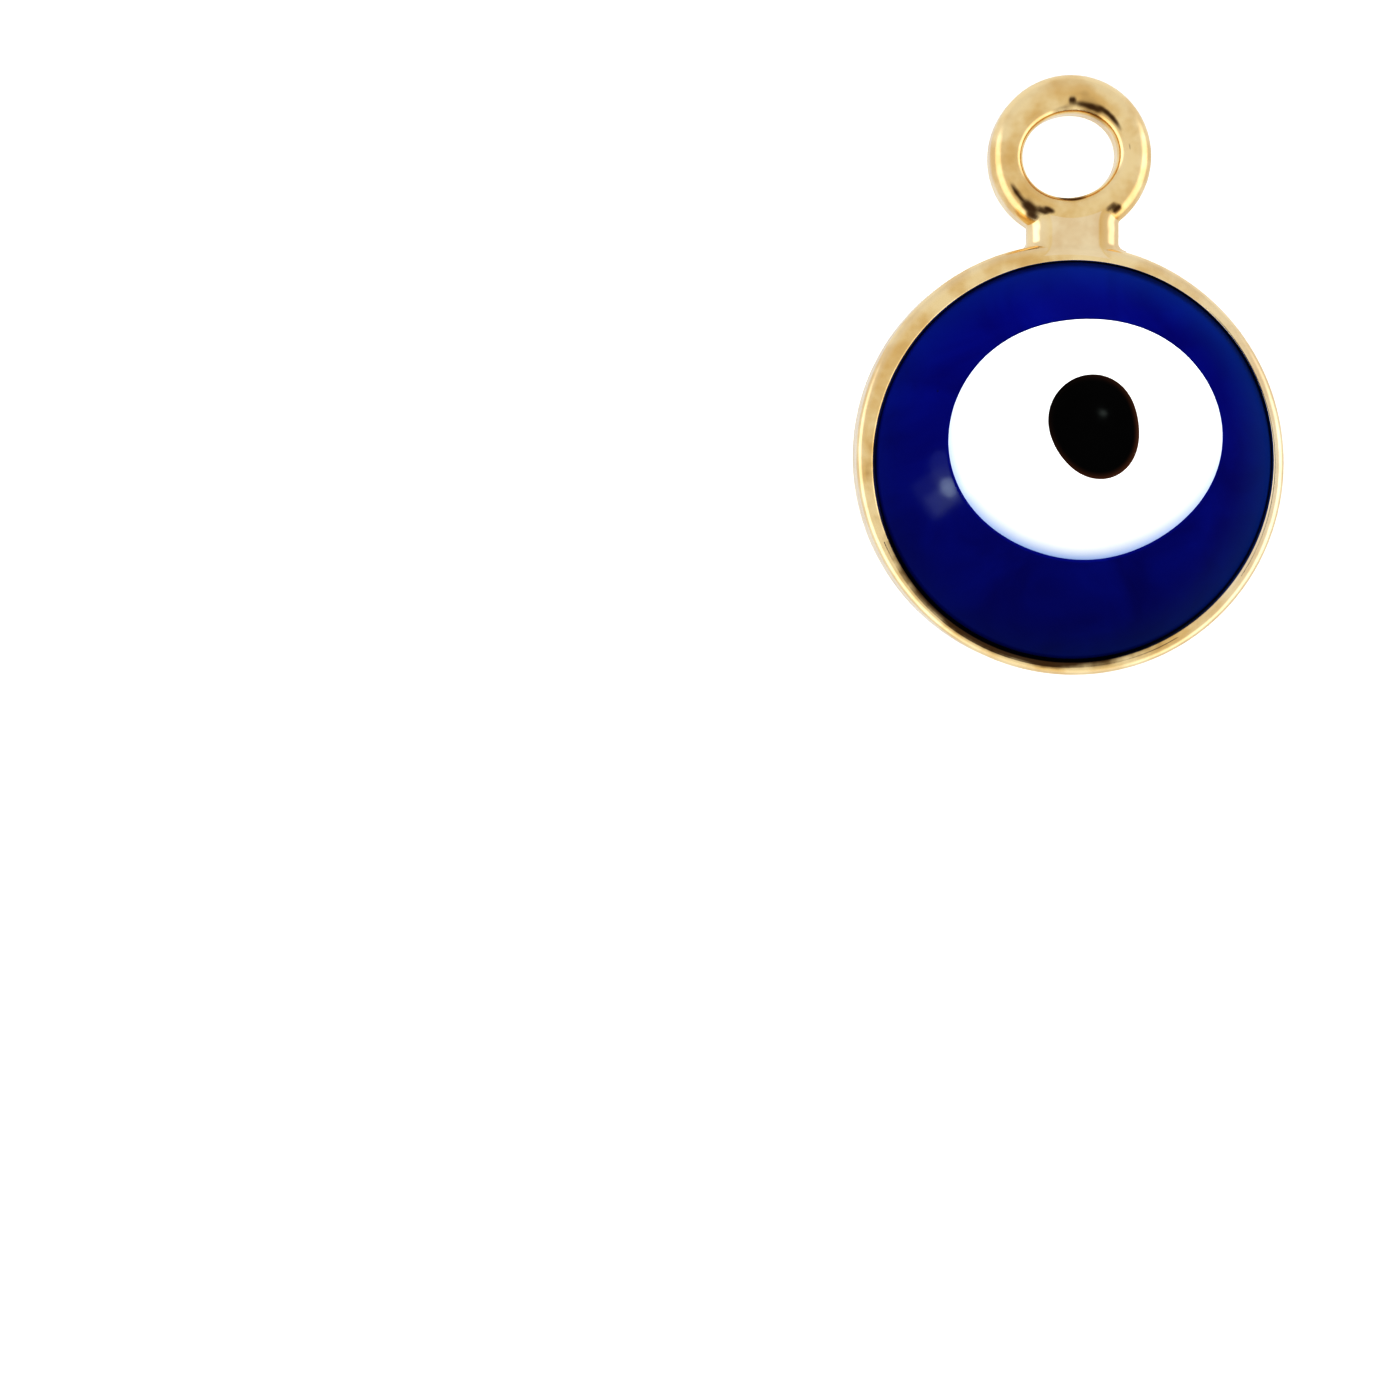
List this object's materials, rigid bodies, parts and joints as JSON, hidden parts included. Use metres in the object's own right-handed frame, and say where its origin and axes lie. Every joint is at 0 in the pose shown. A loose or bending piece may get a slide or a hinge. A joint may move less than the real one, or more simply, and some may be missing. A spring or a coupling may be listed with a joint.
{
  "type": "evil eye charm",
  "caption": "Round evil eye charm of gold plated metal: a domed blue enamel eye with a white and a black drop, and a cast hanging loop.",
  "frame": {"origin": "centre of the flat round back of the cup, which the charm lies on", "axes": "+Z out of the face of the eye, +Y from the cup to the hanging loop, +X to the right of somebody who looks at the face with the loop at the top"},
  "size_m": [0.008, 0.0111, 0.0025],
  "materials": {
    "gold_setting": "polished gold plate on a casting",
    "blue_enamel": "glossy poured enamel, cobalt blue",
    "white_enamel": "glossy poured enamel, white",
    "black_enamel": "glossy poured enamel, black"
  },
  "bodies": {
    "root": {"gold_setting": "gold_setting", "blue_enamel": "blue_enamel", "white_enamel": "white_enamel", "black_enamel": "black_enamel"}
  },
  "joints": []
}
